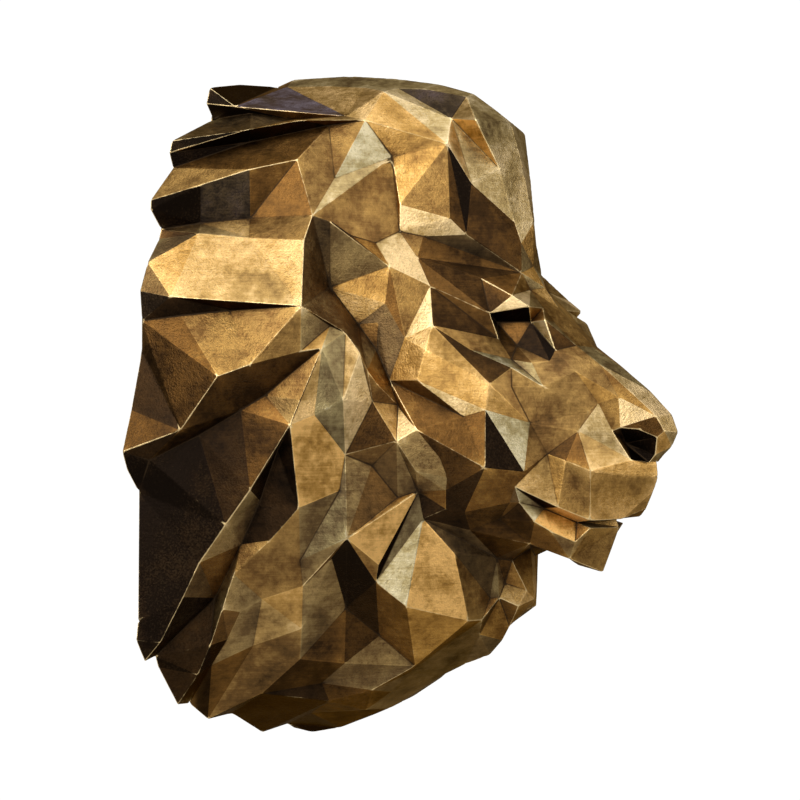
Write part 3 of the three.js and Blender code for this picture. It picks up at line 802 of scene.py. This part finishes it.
def pale_floor_material(colour):
    """Matt pale paint with a faint unevenness."""
    material = bpy.data.materials.new("pale_floor")
    material.use_nodes = True
    tree = material.node_tree
    tree.nodes.clear()
    start = Wire(tree)
    place = start.node("ShaderNodeTexCoord", output="Object")
    shade = start.noise(place, *FLOOR_NOISE)
    paler = opaque(min(1.0, channel * FLOOR_PALER) for channel in colour)
    paint = shade.paint(opaque(colour), paler)
    sockets = {"Base Color": paint, "Roughness": FLOOR_ROUGHNESS}
    shader = start.node("ShaderNodeBsdfPrincipled", None, sockets)
    output = tree.nodes.new("ShaderNodeOutputMaterial")
    tree.links.new(shader.socket, output.inputs["Surface"])
    return material


def area_light(name, place, width, power, colour):
    """A square studio lamp at a place, turned to face the middle of the back."""
    lamp = bpy.data.lights.new(name, "AREA")
    lamp.size = width
    lamp.energy = power
    lamp.color = colour
    holder = bpy.data.objects.new(name, lamp)
    bpy.context.scene.collection.objects.link(holder)
    holder.location = place
    holder.rotation_euler = turned_to(-place)


def turned_to(direction):
    """The Euler angles that point an object's -Z along a direction, with its +Y towards up."""
    flat = math.hypot(direction[0], direction[1])
    return (math.atan2(flat, -direction[2]), 0.0, math.atan2(-direction[0], direction[1]))


class MaskSizes(bpy.types.PropertyGroup):
    """Sizes of the casting's edges and surface."""

    edge_width: bpy.props.FloatProperty(
        name="Edge width", description="Width of the rounding on each edge", default=0.0015, unit="LENGTH",
    )
    longest_side: bpy.props.FloatProperty(
        name="Longest side", description="Longest side of a triangle", default=0.0072, unit="LENGTH",
    )
    wave_depth: bpy.props.FloatProperty(
        name="Wave depth", description="Depth of the unevenness from casting",
        default=0.0005, unit="LENGTH",
    )
    nick_depth: bpy.props.FloatProperty(
        name="Nick depth", description="Depth of the nicks along the edges", default=0.0007, unit="LENGTH",
    )


class MaskColours(bpy.types.PropertyGroup):
    """Colours of the brass and its patina."""

    # The blackest tone, partly painted shade.
    soot_and_shade: bpy.props.FloatVectorProperty(
        name="Soot", description="On the blackest facets", default=(0.010, 0.007, 0.005), subtype="COLOR",
    )
    # Also the painted shade in the grooves and hollows.
    dark_patina: bpy.props.FloatVectorProperty(
        name="Dark patina", description="In the hollows", default=(0.034, 0.021, 0.011), subtype="COLOR",
    )
    brown_brass: bpy.props.FloatVectorProperty(
        name="Brown brass", description="On dull facets", default=(0.155, 0.092, 0.034), subtype="COLOR",
    )
    gold_brass: bpy.props.FloatVectorProperty(
        name="Gold brass", description="On most facets", default=(0.41, 0.285, 0.105), subtype="COLOR",
    )
    pale_brass: bpy.props.FloatVectorProperty(
        name="Pale brass", description="On polished facets", default=(0.78, 0.60, 0.305), subtype="COLOR",
    )
    worn_edge: bpy.props.FloatVectorProperty(
        name="Worn edge", description="On rubbed edges", default=(0.80, 0.62, 0.33), subtype="COLOR",
    )


class StageSettings(bpy.types.PropertyGroup):
    """The floor, lamps and camera."""

    floor_colour: bpy.props.FloatVectorProperty(
        name="Floor", description="Colour of the floor", default=(0.82, 0.81, 0.79), subtype="COLOR",
    )
    floor_drop: bpy.props.FloatProperty(
        name="Floor drop", description="How far the floor is below the mask", default=1.1, unit="LENGTH",
    )
    key_power: bpy.props.FloatProperty(
        name="Key power", description="Main lamp, from the upper left", default=31.0, unit="POWER",
    )
    top_power: bpy.props.FloatProperty(
        name="Top power", description="Wide lamp overhead", default=27.0, unit="POWER",
    )
    fill_power: bpy.props.FloatProperty(
        name="Fill power", description="Warm lamp on the right", default=20.0, unit="POWER",
    )
    front_power: bpy.props.FloatProperty(
        name="Front power", description="Soft lamp beside the camera", default=17.0, unit="POWER",
    )
    view_angle: bpy.props.FloatProperty(
        name="View angle", description="From the side view towards the front",
        default=math.radians(28), subtype="ANGLE",
    )
    distance: bpy.props.FloatProperty(
        name="Distance", description="From the camera to the mask's middle line",
        default=1.3388, unit="LENGTH",
    )
    aside: bpy.props.FloatProperty(
        name="Aside", description="How far right of the middle the camera aims",
        default=0.073, unit="LENGTH",
    )
    focal_length: bpy.props.FloatProperty(
        name="Focal length", description="In millimetres on a 36 mm sensor", default=87.75,
    )


class LION_OT_casting(bpy.types.Operator):
    """Makes the brass casting and hides the CAD solid that it stands for."""

    bl_idname = "lion.casting"
    bl_label = "Lion Head Casting"

    def execute(self, context):
        material = aged_brass(context.scene.mask_colours)
        points, faces, normals, marks = cast_surface(context.scene.mask_sizes)
        casting = piece_from("lion_mask_casting", points, faces, normals, marks, material)
        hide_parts(CAD_NODE)
        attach(casting, "root")
        return {"FINISHED"}


class LION_OT_stage(bpy.types.Operator):
    """Makes the floor, the lamps, the white surroundings and the camera."""

    bl_idname = "lion.stage"
    bl_label = "Stage"

    def execute(self, context):
        scene = context.scene
        settings = scene.mask_stage
        angle = settings.view_angle
        right = np.array([math.sin(angle), -math.cos(angle), 0.0])
        nearer = np.array([-math.cos(angle), -math.sin(angle), 0.0])
        up = np.array([0.0, 0.0, 1.0])

        camera_data = bpy.data.cameras.new("photo_view")
        camera_data.lens = settings.focal_length
        camera_data.sensor_width = SENSOR_WIDTH
        camera_data.clip_start = NEAREST_SEEN
        camera = bpy.data.objects.new("photo_view", camera_data)
        scene.collection.objects.link(camera)
        camera.location = right * settings.aside + nearer * settings.distance
        camera.rotation_euler = turned_to(-nearer)
        scene.camera = camera

        paint = pale_floor_material(settings.floor_colour)
        disc("pale_floor", FLOOR_RADIUS, CAD_BOX[0][2] - settings.floor_drop, paint)

        for name, (near, sideways, high), width, power, colour in LAMPS:
            place = nearer * near + right * sideways + up * high
            area_light(name, place, width, getattr(settings, power), colour)

        world = bpy.data.worlds.new("studio")
        world.use_nodes = True
        tree = world.node_tree
        tree.nodes.clear()
        start = Wire(tree)
        seen = start.node("ShaderNodeLightPath", output="Is Camera Ray")
        bright = {"Color": (1.0, 1.0, 1.0, 1.0), "Strength": WHITE_STRENGTH}
        white = start.node("ShaderNodeBackground", None, bright)
        dim = start.node("ShaderNodeBackground", None, {"Color": DIM_COLOUR, "Strength": DIM_STRENGTH})
        both = start.node("ShaderNodeMixShader", None, {0: seen, 1: dim, 2: white})
        output = tree.nodes.new("ShaderNodeOutputWorld")
        tree.links.new(both.socket, output.inputs["Surface"])
        scene.world = world
        scene.view_settings.view_transform = "Standard"
        return {"FINISHED"}


def disc(name, radius, height, material):
    """A round plate: one corner for each of many equal turns on a circle, at a height."""
    turn = np.linspace(0, 2 * np.pi, FLOOR_CORNERS, endpoint=False)
    rise = np.full(FLOOR_CORNERS, height)
    points = np.stack([radius * np.cos(turn), radius * np.sin(turn), rise], axis=1)
    mesh = bpy.data.meshes.new(name)
    mesh.from_pydata(points.tolist(), [], [list(range(FLOOR_CORNERS))])
    mesh.materials.append(material)
    plate = bpy.data.objects.new(name, mesh)
    bpy.context.scene.collection.objects.link(plate)
    return plate


class LION_PT_panel(bpy.types.Panel):
    """Lists the sizes, colours and steps of the mask."""

    bl_idname = "LION_PT_panel"
    bl_label = "Lion Mask"
    bl_space_type = "VIEW_3D"
    bl_region_type = "UI"
    bl_category = "Lion Mask"

    def draw(self, context):
        for group in (context.scene.mask_sizes, context.scene.mask_colours, context.scene.mask_stage):
            box = self.layout.box()
            for name in group.bl_rna.properties.keys():
                if name not in {"rna_type", "name"}:
                    box.prop(group, name)
        self.layout.operator("lion.casting")
        self.layout.operator("lion.stage")


CLASSES = (MaskSizes, MaskColours, StageSettings, LION_OT_casting, LION_OT_stage, LION_PT_panel)


def register():
    """Adds the classes to Blender, and their settings to the scene."""
    for cls in CLASSES:
        bpy.utils.register_class(cls)
    bpy.types.Scene.mask_sizes = bpy.props.PointerProperty(type=MaskSizes)
    bpy.types.Scene.mask_colours = bpy.props.PointerProperty(type=MaskColours)
    bpy.types.Scene.mask_stage = bpy.props.PointerProperty(type=StageSettings)


def unregister():
    """Takes them out again, in the other order."""
    del bpy.types.Scene.mask_stage
    del bpy.types.Scene.mask_colours
    del bpy.types.Scene.mask_sizes
    for cls in reversed(CLASSES):
        bpy.utils.unregister_class(cls)


def main():
    """Sets the stage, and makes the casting."""
    register()
    bpy.ops.lion.stage()
    bpy.ops.lion.casting()


if __name__ == "__main__":
    main()
